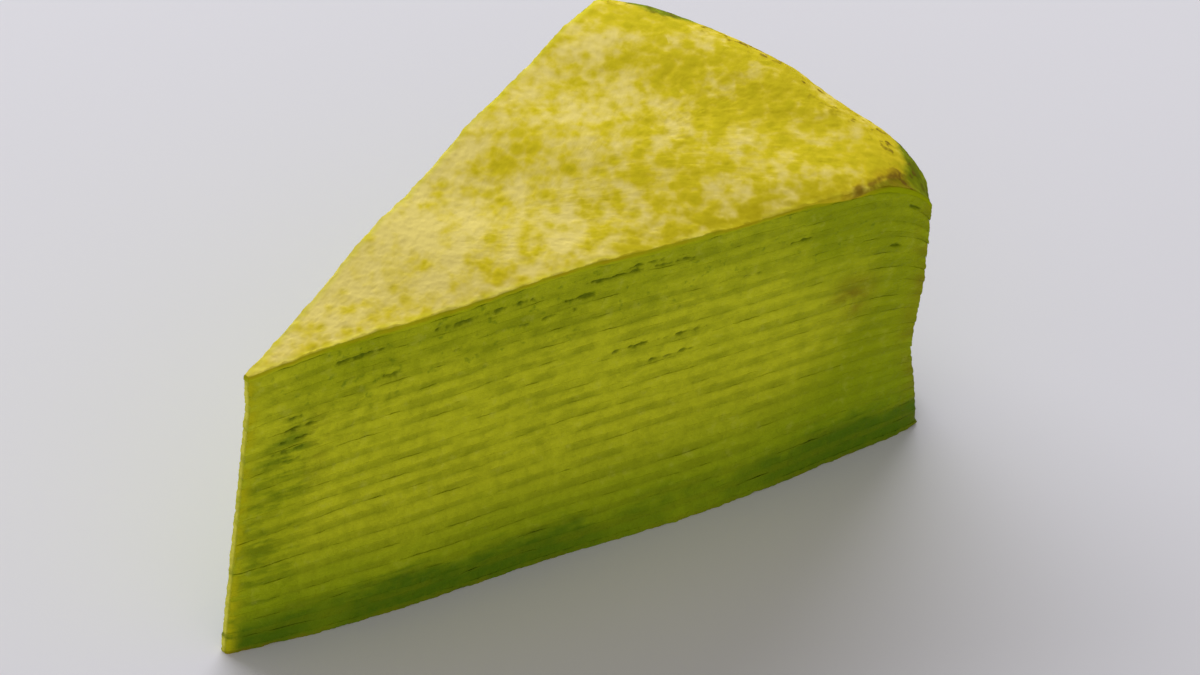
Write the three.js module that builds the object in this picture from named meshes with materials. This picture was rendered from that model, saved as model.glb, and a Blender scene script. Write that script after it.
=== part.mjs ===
// Matcha crepe cake slice: a wedge cut from a cake of thin green crepes with green cream between them.
// Millimetres, +Z up. The slice stands on its bottom crepe, with its tip towards -X and its rim towards +X.
// The origin is under the middle of the slice's box, on the plane that it stands on.
import * as THREE from "three";

// Driving dimensions of the cake
const CAKE_RADIUS = 104.4;
const SLICE_ANGLE = THREE.MathUtils.degToRad(33.4);
const CREPE_COUNT = 18;
const CREPE_THICKNESS = 1.05;
const CREAM_THICKNESS = 1.505;
const THICKNESS_SPREAD = 0.12;

// How the soft stack has settled since it was cut
const TIP_LEAN = 5.2;
const TIP_SETBACK = 0.35;
const TIP_HALF_WIDTH = 0.4;
const FOOT_REACH = 1.1;
const WAIST_DEPTH = 1.3;
const WAIST_LEVEL = 0.36;
const WAIST_WIDTH = 0.2;
const FOOT_FLARE_NEAR = 2.87;
const FOOT_FLARE_FAR = 1.2;
const FOOT_LEVEL = 0.45;
const FOOT_SKEW = 1.25;
const FOOT_FULLNESS = 0.43;
const FOOT_WAVE = 0.15;
const FOOT_WAVE_START = 0.17;
const FOOT_WAVE_LENGTH = 0.5;

// The rim's outline in plan: it bows out a little, its two corners are rounded, and its top is dented
const RIM_BOW = 1.0;
const CORNER_ROUND_NEAR = 2.9;
const CORNER_ROUND_FAR = 1.5;
const CORNER_WIDTH = 0.146;
const RIM_DENT = 1.25;
const RIM_DENT_PLACE = -0.23;
const RIM_DENT_WIDTH = 0.22;

// The top's outline from the tip to the rim: a low tip, a slow droop and a rounded shoulder
const TIP_SAG = 0.035;
const TIP_SAG_WIDTH = 0.12;
const RIM_DROOP = 0.051;
const RIM_DROOP_START = 0.63;
const RIM_DROOP_POWER = 1.47;
const SHOULDER_DROP = 5.3;
const SHOULDER_WIDTH = 0.081;
const SHOULDER_ROUND = 0.97;
const SHOULDER_POWER = 2;

// Waves of the top and of each seam between a crepe and the cream
const TOP_WAVE = 0.35;
const TOP_WAVE_LENGTH = 31;
const TOP_WAVE_SKEW = 0.65;
const SEAM_WAVE = 0.1;
const SEAM_WAVE_LENGTH = 44;

// How far a crepe's edge stands out past the cream
const CUT_LIP = 0.25;
const RIM_LIP = 0.9;
const RIM_LIP_SPREAD = 0.55;
const RIM_LIP_WAVE = 0.25;
const RIM_LIP_WAVES = 3;
const RIM_LIP_DROOP = 0.35;

// Facets along the radius and across the slice
const RADIUS_STEPS = 7;
const CROSS_STEPS = 8;
const RIM_CROWDING = 2;

// Where the slice's box has its middle, measured from the tip's foot
const BOX_MIDDLE = new THREE.Vector2(53.57, 0.194);

const SEAM_COUNT = 2 * CREPE_COUNT;
const STACK_HEIGHT = CREPE_COUNT * CREPE_THICKNESS + (CREPE_COUNT - 1) * CREAM_THICKNESS;
const HALF_ANGLE = SLICE_ANGLE / 2;
const GOLDEN_SHARE = (Math.sqrt(5) - 1) / 2;
const GOLDEN_ANGLE = 2 * Math.PI * GOLDEN_SHARE;

// An even spread of numbers from -1 to 1, one for each index
function spread(index) {
  return 2 * ((index * GOLDEN_SHARE) % 1) - 1;
}

// The share of the stack's height at each seam, from the foot to the top: crepes have even indices
function seamLevels() {
  const heights = [0];
  for (let layer = 0; layer < SEAM_COUNT - 1; layer++) {
    const nominal = layer % 2 === 0 ? CREPE_THICKNESS : CREAM_THICKNESS;
    heights.push(heights[layer] + nominal * (1 + THICKNESS_SPREAD * spread(layer)));
  }
  const top = heights[heights.length - 1];
  return heights.map((height) => height / top);
}

const LEVELS = seamLevels();

function bell(value, place, reach) {
  return Math.exp(-(((value - place) / reach) ** 2));
}

// The top's height along the radius, as a share of the stack's height
function topOutline(along) {
  const sag = TIP_SAG * bell(along, 0, TIP_SAG_WIDTH);
  const past = Math.max(0, (along - RIM_DROOP_START) / (1 - RIM_DROOP_START));
  return 1 - sag - RIM_DROOP * past ** RIM_DROOP_POWER;
}

// How far the stack has sunk at its rounded shoulder: most at the top and not at all at the foot
function shoulderDrop(along, level) {
  const past = Math.max(0, (along - 1 + SHOULDER_WIDTH) / SHOULDER_WIDTH);
  const round = 1 - Math.sqrt(1 - SHOULDER_ROUND * past * past);
  return SHOULDER_DROP * round * level ** SHOULDER_POWER;
}

// The distance from the tip's foot to the end of the cream at the rim
function rimReach(across, level) {
  const foot = FOOT_REACH * (1 - level) ** 2;
  const waist = WAIST_DEPTH * bell(level, WAIST_LEVEL, WAIST_WIDTH);
  const bow = RIM_BOW * (1 - across * across);
  const near = CORNER_ROUND_NEAR * bell(across, -1, CORNER_WIDTH);
  const far = CORNER_ROUND_FAR * bell(across, 1, CORNER_WIDTH);
  const dent = RIM_DENT * bell(across, RIM_DENT_PLACE, RIM_DENT_WIDTH) * level * level;
  return CAKE_RADIUS + foot - waist + bow - near - far - dent;
}

// How far a cut face stands out at its foot, where the stack has spread unevenly under its own weight
function footFlare(along, across, level) {
  const most = across < 0 ? FOOT_FLARE_NEAR : FOOT_FLARE_FAR;
  const fade = 1 - THREE.MathUtils.smoothstep(level, 0, FOOT_LEVEL);
  const swell = Math.max(0, Math.sin(Math.PI * along ** FOOT_SKEW)) ** FOOT_FULLNESS;
  const wave = 1 + FOOT_WAVE * Math.cos((2 * Math.PI * (along - FOOT_WAVE_START)) / FOOT_WAVE_LENGTH);
  return most * swell * wave * fade * across * across;
}

// Waves that grow from nothing at the foot to their full height at the top, and a finer one for each seam
function seamHeight(x, y, along, seam) {
  const level = LEVELS[seam];
  const slant = x + TOP_WAVE_SKEW * y;
  const topWave = TOP_WAVE * Math.sin((2 * Math.PI * slant) / TOP_WAVE_LENGTH);
  const turn = seam * GOLDEN_ANGLE;
  const seamWave = SEAM_WAVE * Math.sin((2 * Math.PI * (x - y)) / SEAM_WAVE_LENGTH + turn);
  const settled = seam === 0 ? 0 : seamWave;
  return level * (STACK_HEIGHT * topOutline(along) + topWave) - shoulderDrop(along, level) + settled;
}

// A point of a seam: along runs from 0 at the tip to 1 at the rim, and across from -1 to 1 between the cuts
function seamPoint(along, across, seam) {
  const level = LEVELS[seam];
  const angle = across * HALF_ANGLE;
  const reach = along * rimReach(across, level);
  const tip = (TIP_SETBACK + TIP_LEAN * level) * (1 - along);
  const flare = footFlare(along, across, level);
  const side = Math.sign(across);
  const x = reach * Math.cos(angle) + tip - flare * Math.sin(HALF_ANGLE);
  const straightY = reach * Math.sin(angle) + TIP_HALF_WIDTH * across * (1 - along);
  const y = straightY + side * flare * Math.cos(HALF_ANGLE);
  return new THREE.Vector3(x, y, seamHeight(x, y, along, seam));
}

// How far this crepe's edge stands out at the rim
function rimLip(across, crepe) {
  const wave = Math.sin(RIM_LIP_WAVES * across + crepe * GOLDEN_ANGLE);
  return RIM_LIP + RIM_LIP_SPREAD * spread(crepe) + RIM_LIP_WAVE * wave;
}

// The seam's point nearest to a place on the lip, moved out to the lip's edge
function lipPoint(along, across, seam, crepe) {
  const point = seamPoint(THREE.MathUtils.clamp(along, 0, 1), THREE.MathUtils.clamp(across, -1, 1), seam);
  const side = Math.sign(across);
  if (Math.abs(across) > 1) {
    point.x -= CUT_LIP * Math.sin(HALF_ANGLE);
    point.y += side * CUT_LIP * Math.cos(HALF_ANGLE);
  }
  if (along < 0) {
    point.x -= CUT_LIP;
  }
  if (along > 1) {
    const inside = THREE.MathUtils.clamp(across, -1, 1);
    const out = rimLip(inside, crepe);
    point.x += out * Math.cos(inside * HALF_ANGLE);
    point.y += out * Math.sin(inside * HALF_ANGLE);
    point.z -= seam === 0 ? 0 : Math.min(RIM_LIP_DROOP * out, point.z);
  }
  return point;
}

// Places along the radius, closer together towards the rim where the stack bends down
function alongPlaces() {
  const steps = Array.from({ length: RADIUS_STEPS + 1 }, (_, i) => i / RADIUS_STEPS);
  return steps.map((share) => 1 - (1 - share) ** RIM_CROWDING);
}

// Places across the slice, closer together towards the two cuts where the rim's corners are rounded
function acrossPlaces() {
  const steps = Array.from({ length: CROSS_STEPS + 1 }, (_, i) => (2 * i) / CROSS_STEPS - 1);
  return steps.map((share) => Math.sin((share * Math.PI) / 2));
}

// The cream ends where the seams end. A crepe goes on past them to its lip, whose place is any past the end
const LIP_PLACE = 2;
const SEAM_ALONG = alongPlaces();
const SEAM_ACROSS = acrossPlaces();
const LIP_ALONG = [-LIP_PLACE, ...SEAM_ALONG, LIP_PLACE];
const LIP_ACROSS = [-LIP_PLACE, ...SEAM_ACROSS, LIP_PLACE];

function creamSheet(seam) {
  return SEAM_ALONG.map((along) => SEAM_ACROSS.map((across) => seamPoint(along, across, seam)));
}

function crepeSheet(seam, crepe) {
  return LIP_ALONG.map((along) => LIP_ACROSS.map((across) => lipPoint(along, across, seam, crepe)));
}

// The closed skin between a lower and an upper sheet: both are split into triangles alike
function slabGeometry(lower, upper) {
  const rows = lower.length;
  const columns = lower[0].length;
  const points = [...lower.flat(), ...upper.flat()];
  const place = (row, column, raised) => (raised ? rows * columns : 0) + row * columns + column;
  const index = [];
  for (let row = 0; row < rows - 1; row++) {
    for (let column = 0; column < columns - 1; column++) {
      const corners = (raised) => [
        place(row, column, raised),
        place(row + 1, column, raised),
        place(row + 1, column + 1, raised),
        place(row, column + 1, raised),
      ];
      const [a, b, c, d] = corners(true);
      index.push(a, b, c, a, c, d);
      const [e, f, g, h] = corners(false);
      index.push(e, g, f, e, h, g);
    }
  }
  const edge = [];
  for (let row = 0; row < rows - 1; row++) edge.push([row, 0]);
  for (let column = 0; column < columns - 1; column++) edge.push([rows - 1, column]);
  for (let row = rows - 1; row > 0; row--) edge.push([row, columns - 1]);
  for (let column = columns - 1; column > 0; column--) edge.push([0, column]);
  edge.forEach(([row, column], i) => {
    const [nextRow, nextColumn] = edge[(i + 1) % edge.length];
    const a = place(row, column, false);
    const b = place(nextRow, nextColumn, false);
    const c = place(nextRow, nextColumn, true);
    const d = place(row, column, true);
    index.push(a, b, c, a, c, d);
  });
  const geometry = new THREE.BufferGeometry().setFromPoints(points);
  geometry.setIndex(index);
  geometry.computeVertexNormals();
  return geometry;
}

const crepeGreen = new THREE.MeshStandardMaterial({ color: 0x77820c, roughness: 0.75, metalness: 0 });
const creamGreen = new THREE.MeshStandardMaterial({ color: 0x96a02a, roughness: 0.6, metalness: 0 });
const footGreen = new THREE.MeshStandardMaterial({ color: 0x4d6208, roughness: 0.75, metalness: 0 });
const topGold = new THREE.MeshStandardMaterial({ color: 0xc8b742, roughness: 0.8, metalness: 0 });

function layerName(kind, number) {
  return `${kind}_${String(number).padStart(2, "0")}`;
}

function crepeMesh(crepe) {
  const seam = 2 * crepe;
  const geometry = slabGeometry(crepeSheet(seam, crepe), crepeSheet(seam + 1, crepe));
  const lowest = crepe === 0 ? footGreen : crepeGreen;
  const mesh = new THREE.Mesh(geometry, crepe === CREPE_COUNT - 1 ? topGold : lowest);
  mesh.name = layerName("crepe", crepe + 1);
  return mesh;
}

function creamMesh(cream) {
  const seam = 2 * cream + 1;
  const mesh = new THREE.Mesh(slabGeometry(creamSheet(seam), creamSheet(seam + 1)), creamGreen);
  mesh.name = layerName("cream", cream + 1);
  return mesh;
}

const slice = new THREE.Group();
slice.name = "crepe_cake_slice";
for (let crepe = 0; crepe < CREPE_COUNT; crepe++) {
  slice.add(crepeMesh(crepe));
  if (crepe < CREPE_COUNT - 1) slice.add(creamMesh(crepe));
}
slice.position.set(-BOX_MIDDLE.x, -BOX_MIDDLE.y, 0);

export default slice;
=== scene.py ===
# %% [markdown]
# # A slice of matcha crepe cake
# The real thing is a stack of pan-thin green crepes with green cream spread between them. A knife has
# cut a wedge out of it, so two flat faces show every layer, and the soft stack has sunk at its rim.
# The solids of the model are loaded first. They are the fixed frame that every piece is fitted to.

# %% The frame
import math
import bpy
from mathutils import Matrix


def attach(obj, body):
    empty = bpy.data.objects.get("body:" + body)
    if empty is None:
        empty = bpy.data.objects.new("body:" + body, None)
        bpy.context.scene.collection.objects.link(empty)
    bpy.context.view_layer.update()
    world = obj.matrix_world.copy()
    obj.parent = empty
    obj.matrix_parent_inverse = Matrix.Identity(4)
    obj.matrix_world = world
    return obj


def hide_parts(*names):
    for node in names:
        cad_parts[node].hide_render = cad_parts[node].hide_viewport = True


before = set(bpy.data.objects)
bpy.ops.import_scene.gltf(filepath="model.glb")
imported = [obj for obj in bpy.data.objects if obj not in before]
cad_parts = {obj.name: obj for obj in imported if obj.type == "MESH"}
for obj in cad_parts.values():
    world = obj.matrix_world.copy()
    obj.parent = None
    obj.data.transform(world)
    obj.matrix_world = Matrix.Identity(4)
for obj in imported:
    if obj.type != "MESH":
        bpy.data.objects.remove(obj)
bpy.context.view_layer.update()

from types import SimpleNamespace

import bpy
from mathutils import Matrix, Vector

# %% [markdown]
# ## Sums on sockets
# A node tree is a sum drawn as boxes and wires, and a long sum is easier to read as a line of Python.
# The nodes could be wired one by one, but then each sum takes a page. So a Flow stands for one socket,
# and plain operators on it add Math nodes.

# %% Flow


class Flow:
    """One socket of a tree: sums on it add Math nodes."""

    def __init__(self, tree, socket):
        self.tree = tree
        self.socket = socket

    def math(self, operation, *others):
        return sums(self.tree, operation, self, *others)

    def __add__(self, other):
        return sums(self.tree, "ADD", self, other)

    def __radd__(self, other):
        return sums(self.tree, "ADD", other, self)

    def __sub__(self, other):
        return sums(self.tree, "SUBTRACT", self, other)

    def __rsub__(self, other):
        return sums(self.tree, "SUBTRACT", other, self)

    def __mul__(self, other):
        return sums(self.tree, "MULTIPLY", self, other)

    def __rmul__(self, other):
        return sums(self.tree, "MULTIPLY", other, self)

    def __truediv__(self, other):
        return sums(self.tree, "DIVIDE", self, other)

    def __pow__(self, other):
        return sums(self.tree, "POWER", self, other)

    def clamp(self):
        return self.math("MAXIMUM", 0.0).math("MINIMUM", 1.0)

    def step(self, low, high):
        """A smooth rise from 0 at low to 1 at high."""
        share = ((self - low) / (high - low)).clamp()
        return share * share * (3.0 - share * 2.0)

    def bell(self, place, width):
        """A hump that is 1 at its place and falls off over its width."""
        far = (self - place) / width
        return (far * far * -1.0).math("EXPONENT")


def feed(tree, socket, value):
    if isinstance(value, Flow):
        tree.links.new(value.socket, socket)
    else:
        socket.default_value = value


def sums(tree, operation, *values):
    node = tree.nodes.new("ShaderNodeMath")
    node.operation = operation
    for socket, value in zip(node.inputs, values):
        feed(tree, socket, value)
    return Flow(tree, node.outputs[0])


print("sums on sockets ready")

# %% [markdown]
# ## A tree to build on
# A Board is a whole tree. It adds any other node, sets it up, and feeds its sockets with numbers or
# with Flows, and it has short ways to add the three kinds that are used most. The shape of the layers
# and their finishes can share it, because both kinds of tree have these nodes.

# %% Board


class Board:
    """A node tree, with short ways to add nodes to it."""

    def __init__(self, tree):
        self.tree = tree

    def add(self, kind, settings=None, sockets=None, out=0):
        node = self.tree.nodes.new(kind)
        for name, value in (settings or {}).items():
            setattr(node, name, value)
        for name, value in (sockets or {}).items():
            feed(self.tree, node.inputs[name], value)
        return Flow(self.tree, node.outputs[out]) if len(node.outputs) else node

    def vector(self, x, y, z):
        return self.add("ShaderNodeCombineXYZ", {}, {"X": x, "Y": y, "Z": z})

    def mix(self, share, first, second):
        """A colour between two others."""
        sockets = {"Factor": share, 6: first, 7: second}
        return self.add("ShaderNodeMix", {"data_type": "RGBA"}, sockets, out=2)

    def cloud(self, place, size, seed=0.0, detail=2.0):
        """Soft noise about 0, with lumps of this size in the units of the place."""
        sockets = {"Vector": place, "W": seed, "Scale": 1.0 / size, "Detail": detail}
        return self.add("ShaderNodeTexNoise", {"noise_dimensions": "4D"}, sockets) * 2.0 - 1.0


print("boards ready")

# %% [markdown]
# ## The rule of the slice
# These are the sizes that the solids were made from, in millimetres and shares. A seam is the sheet
# where a crepe meets the cream. Its level is its share of the stack's height. Every point of a seam
# follows from two numbers: how far along it lies from the tip to the rim, and how far across it lies
# from the near cut to the far one. Using the same rule here keeps each layer where its solid is. Only
# the lips at the layers' edges are drawn finer than on the solids, which have wider facets.

# %% Sizes
CAKE_RADIUS = 104.4
HALF_ANGLE = math.radians(33.4) / 2
CREPE_COUNT = 18
CREPE_THICKNESS = 1.05
CREAM_THICKNESS = 1.505
THICKNESS_SPREAD = 0.12
STACK_HEIGHT = CREPE_COUNT * CREPE_THICKNESS + (CREPE_COUNT - 1) * CREAM_THICKNESS
GOLDEN_SHARE = (math.sqrt(5) - 1) / 2
GOLDEN_ANGLE = 2 * math.pi * GOLDEN_SHARE
TIP_LEAN, TIP_SETBACK, TIP_HALF_WIDTH = 5.2, 0.35, 0.4
FOOT_REACH, WAIST_DEPTH, WAIST_LEVEL, WAIST_WIDTH = 1.1, 1.3, 0.36, 0.2
FOOT_FLARE_NEAR, FOOT_FLARE_FAR, FOOT_LEVEL, FOOT_SKEW = 2.87, 1.2, 0.45, 1.25
FOOT_FULLNESS, FOOT_WAVE, FOOT_WAVE_START, FOOT_WAVE_LENGTH = 0.43, 0.15, 0.17, 0.5
RIM_BOW, CORNER_ROUND_NEAR, CORNER_ROUND_FAR, CORNER_WIDTH = 1.0, 2.9, 1.5, 0.146
RIM_DENT, RIM_DENT_PLACE, RIM_DENT_WIDTH = 1.25, -0.23, 0.22
TIP_SAG, TIP_SAG_WIDTH = 0.035, 0.12
RIM_DROOP, RIM_DROOP_START, RIM_DROOP_POWER = 0.051, 0.63, 1.47
SHOULDER_DROP, SHOULDER_WIDTH, SHOULDER_ROUND, SHOULDER_POWER = 5.3, 0.081, 0.97, 2.0
TOP_WAVE, TOP_WAVE_LENGTH, TOP_WAVE_SKEW = 0.35, 31.0, 0.65
SEAM_WAVE, SEAM_WAVE_LENGTH = 0.1, 44.0
CUT_LIP, RIM_LIP, RIM_LIP_SPREAD = 0.08, 0.9, 0.25
RIM_LIP_WAVE, RIM_LIP_WAVES, RIM_LIP_DROOP = 0.15, 3.0, 0.12
BOX_MIDDLE = (53.57, 0.194)


def spread(index):
    """An even spread of numbers from -1 to 1."""
    return 2 * ((index * GOLDEN_SHARE) % 1) - 1


def seam_levels():
    heights = [0.0]
    for layer in range(2 * CREPE_COUNT - 1):
        nominal = CREAM_THICKNESS if layer % 2 else CREPE_THICKNESS
        heights.append(heights[-1] + nominal * (1 + THICKNESS_SPREAD * spread(layer)))
    return [height / heights[-1] for height in heights]


LEVELS = seam_levels()
print("seams:", len(LEVELS), "stack", round(STACK_HEIGHT, 2), "mm")

# %% [markdown]
# ## A point of a seam, as nodes
# Geometry Nodes can hold the whole rule, because it is only sums of the two numbers along and across.
# Each function below takes Flows and adds the nodes for one part of the rule: how far the rim reaches,
# how the foot has spread, and how high the seam lies. A slow wobble on top of the rule makes the seams
# wander as hand-spread cream does; both layers at a seam read the same wobble, so they still meet.

# %% Seam nodes
SEAM_WOBBLE = 0.34
SEAM_WOBBLE_SIZE = 11.0
SEAM_WOBBLE_STEP = 3.7
SEAM_FRAY, SEAM_FRAY_SIZE = 0.13, 1.4
WOBBLE_LEVELS = 25.0


def rim_reach(across, level):
    foot = (1.0 - level) * (1.0 - level) * FOOT_REACH
    waist = level.bell(WAIST_LEVEL, WAIST_WIDTH) * WAIST_DEPTH
    bow = (1.0 - across * across) * RIM_BOW
    near = across.bell(-1.0, CORNER_WIDTH) * CORNER_ROUND_NEAR
    far = across.bell(1.0, CORNER_WIDTH) * CORNER_ROUND_FAR
    dent = across.bell(RIM_DENT_PLACE, RIM_DENT_WIDTH) * level * level * RIM_DENT
    return foot - waist + bow - near - far - dent + CAKE_RADIUS


def foot_flare(along, across, level):
    middle = (FOOT_FLARE_FAR + FOOT_FLARE_NEAR) / 2
    half = (FOOT_FLARE_FAR - FOOT_FLARE_NEAR) / 2
    most = across.math("SIGN") * half + middle
    fade = 1.0 - level.step(0.0, FOOT_LEVEL)
    swell = (along ** FOOT_SKEW * math.pi).math("SINE").math("MAXIMUM", 0.0) ** FOOT_FULLNESS
    turn = (along - FOOT_WAVE_START) * (2 * math.pi / FOOT_WAVE_LENGTH)
    wave = turn.math("COSINE") * FOOT_WAVE + 1.0
    return most * swell * wave * fade * across * across


def seam_height(board, x, y, along, level, seam):
    sag = along.bell(0.0, TIP_SAG_WIDTH) * TIP_SAG
    past = ((along - RIM_DROOP_START) / (1 - RIM_DROOP_START)).math("MAXIMUM", 0.0)
    outline = 1.0 - sag - past ** RIM_DROOP_POWER * RIM_DROOP
    wave = ((x + y * TOP_WAVE_SKEW) * (2 * math.pi / TOP_WAVE_LENGTH)).math("SINE") * TOP_WAVE
    over = ((along - 1.0 + SHOULDER_WIDTH) / SHOULDER_WIDTH).clamp()
    round_over = 1.0 - (1.0 - over * over * SHOULDER_ROUND).math("SQRT")
    drop = round_over * level ** SHOULDER_POWER * SHOULDER_DROP
    own = ((x - y) * (2 * math.pi / SEAM_WAVE_LENGTH) + seam * GOLDEN_ANGLE).math("SINE") * SEAM_WAVE
    spot, own_turn = board.vector(x, y, 0.0), seam * SEAM_WOBBLE_STEP
    wobble = board.cloud(spot, SEAM_WOBBLE_SIZE, own_turn) * SEAM_WOBBLE
    wobble = wobble + board.cloud(spot, SEAM_FRAY_SIZE, own_turn) * SEAM_FRAY
    off_floor = (level * WOBBLE_LEVELS).clamp()
    return level * (outline * STACK_HEIGHT + wave) - drop + (own + wobble) * off_floor


def seam_point(board, along, across, level, seam):
    angle = across * HALF_ANGLE
    reach = along * rim_reach(across, level)
    tip = (level * TIP_LEAN + TIP_SETBACK) * (1.0 - along)
    flare = foot_flare(along, across, level)
    x = reach * angle.math("COSINE") + tip - flare * math.sin(HALF_ANGLE)
    straight = reach * angle.math("SINE") + across * (1.0 - along) * TIP_HALF_WIDTH
    y = straight + across.math("SIGN") * flare * math.cos(HALF_ANGLE)
    return x, y, seam_height(board, x, y, along, level, seam)


print("the rule is written as nodes")

# %% [markdown]
# ## The grid round a layer
# A layer is a closed slab. It could be a filled outline that is pulled upwards, but filled faces have
# long thin triangles, which bend and shade badly. So its skin is a grid that is wrapped round it: one
# way of the grid runs round the outline, along the near cut, the rim and the far cut, and the other
# way runs from a spine under the slab, out to the edge, up the wall, and back over the top to the
# spine. The spine and the join are then merged, so the slab is closed with no cap to fill. Only the
# edge of most layers can be seen, so the rings crowd towards it there, while the top crepe spreads
# many rings over its upper face.

# %% Places on the grid
CUT_STEPS, RIM_STEPS, TIP_STEPS = 400, 190, 10
ROUND_STEPS = 2 * CUT_STEPS + RIM_STEPS + TIP_STEPS
NEAR_END = CUT_STEPS / ROUND_STEPS
RIM_END = (CUT_STEPS + RIM_STEPS) / ROUND_STEPS
FAR_END = (2 * CUT_STEPS + RIM_STEPS) / ROUND_STEPS
SPINE_TIP, SPINE_CUT, SPINE_RIM = 0.06, 0.54, 0.2


def ring_count(given):
    return given["Rings below"] + given["Rings in the wall"] + given["Rings above"]


def place_on_grid(board, given):
    """Where a point of the grid lies: along, across, its share up the wall, and how far in it lies."""
    grid = board.add("GeometryNodeInputPosition")
    turn = board.add("ShaderNodeSeparateXYZ", {}, {0: grid}, out="X") + 0.5
    ring = (board.add("ShaderNodeSeparateXYZ", {}, {0: grid}, out="Y") + 0.5) * ring_count(given)
    near = (turn / NEAR_END).clamp()
    far = ((FAR_END - turn) / (FAR_END - RIM_END)).clamp()
    edge_along = near.math("MINIMUM", far)
    over_rim = ((turn - NEAR_END) / (RIM_END - NEAR_END)).clamp()
    over_tip = ((turn - FAR_END) / (1 - FAR_END)).clamp()
    edge_across = over_rim * 2.0 - 1.0 - over_tip * 2.0
    under = ((given["Rings below"] - ring) / given["Rings below"]).clamp()
    over = ((ring - given["Rings below"] - given["Rings in the wall"]) / given["Rings above"]).clamp()
    inward = under.math("MAXIMUM", over) ** given["Ring crowding"]
    up = ((ring - given["Rings below"]) / given["Rings in the wall"]).clamp()
    spine = edge_along * ((1.0 - edge_across.math("ABSOLUTE")) * SPINE_RIM + SPINE_CUT) + SPINE_TIP
    along = edge_along + inward * (spine - edge_along)
    across = edge_across * (1.0 - inward)
    return along, across, up, inward


def between(low, high, up):
    return low + (high - low) * up


print("grid:", ROUND_STEPS, "steps round each layer")

# %% [markdown]
# ## Air between the layers
# Where the cream didn't reach the next crepe, the knife has left short slits in the cut. They could be
# holes that are cut out of the layers, but cuts this thin tend to break a mesh. So each slit is a line on
# the face, and the edge of a layer is pressed in wherever it lies near one. The finish darkens the slits
# with painted shade, the shade inside the gaps.

# %% Air gaps
# Each gap: from along, to along, level
GAPS = [
    (0.12, 0.2, 0.932), (0.26, 0.4, 0.94), (0.48, 0.64, 0.93), (0.54, 0.59, 0.948), (0.19, 0.22, 0.834),
    (0.28, 0.3, 0.852), (0.385, 0.465, 0.855), (0.45, 0.49, 0.89), (0.79, 0.82, 0.875), (0.72, 0.745, 0.8),
    (0.53, 0.67, 0.66), (0.59, 0.67, 0.59), (0.06, 0.09, 0.79), (0.04, 0.1, 0.75), (0.05, 0.085, 0.715),
    (0.035, 0.08, 0.68), (0.055, 0.075, 0.645),
    (0.945, 0.962, 0.77), (0.975, 0.985, 0.93),
]
GAP_REACH, GAP_DEPTH, FAR_GAP_SHIFT = 0.42, 0.28, 0.08
GAP_RAG, GAP_RAG_SIZE, GAP_SHRINK = 1.1, 1.5, 0.14


def air_gaps(board, along, level):
    """How near a point of the cut lies to a gap between the layers: 1 inside it, 0 away from it."""
    join = board.tree.nodes.new("GeometryNodeJoinGeometry")
    for start, end, height in GAPS:
        low = (start * CAKE_RADIUS, height * STACK_HEIGHT, 0.0)
        high = (end * CAKE_RADIUS, height * STACK_HEIGHT, 0.0)
        sockets = {"Count": 2, "Start Location": low, "Offset": high}
        line = board.add("GeometryNodeMeshLine", {"mode": "END_POINTS"}, sockets)
        board.tree.links.new(line.socket, join.inputs[0])
    spot = board.vector(along * CAKE_RADIUS, level * STACK_HEIGHT, 0.0)
    sockets = {0: Flow(board.tree, join.outputs[0]), "Sample Position": spot}
    far = board.add("GeometryNodeProximity", {"target_element": "EDGES"}, sockets, out="Distance")
    ragged = far + board.cloud(spot, GAP_RAG_SIZE, seed=3.0, detail=4.0) * GAP_RAG + GAP_SHRINK
    return 1.0 - ragged.step(0.0, GAP_REACH)


print("air gaps:", len(GAPS))

# %% [markdown]
# ## The edge of a layer
# The edge of a real crepe isn't a clean band. It is rounded where it meets the cream, the knife has
# dragged it, and at the rim each crepe ends where its batter stopped. This could be sculpted by hand on
# each layer. Noise does it for all of them at once, and stays the same each time the file is run.

# %% Edges
CUT_FADE, RIM_FADE, TIP_FADE = 8.0, 60.0, 60.0
EDGE_POWER = 3.0
TIP_LIP_SHARE, RIM_ROUND_SHARE = 0.4, 0.6
CORNER_FADE, CORNER_FLUSH = 14.0, 0.88
WANDER_SIZE, WANDER_SHARE, WANDER_START = 4.0, 3.0, 0.5
RAG_SIZES, RAG_SHARES = (2.4, 0.9), (0.6, 0.9)
DRAG_SIZE, DRAG_FLATTENING = 6.0, 4.0
RIM_RAG_SIZES, RIM_RAG_FINE_SHARE = (5.5, 1.6), 0.5
RELIEF_SIZES, RELIEF_FINE_SHARE = (3.2, 1.1), 0.7
RELIEF_START, CUT_SIDE, FAR_SIDE = (0.9, 1.0), (0.5, 0.95), (-0.5, 0.5)
GAP_RING_FADE = 20.0


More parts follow.
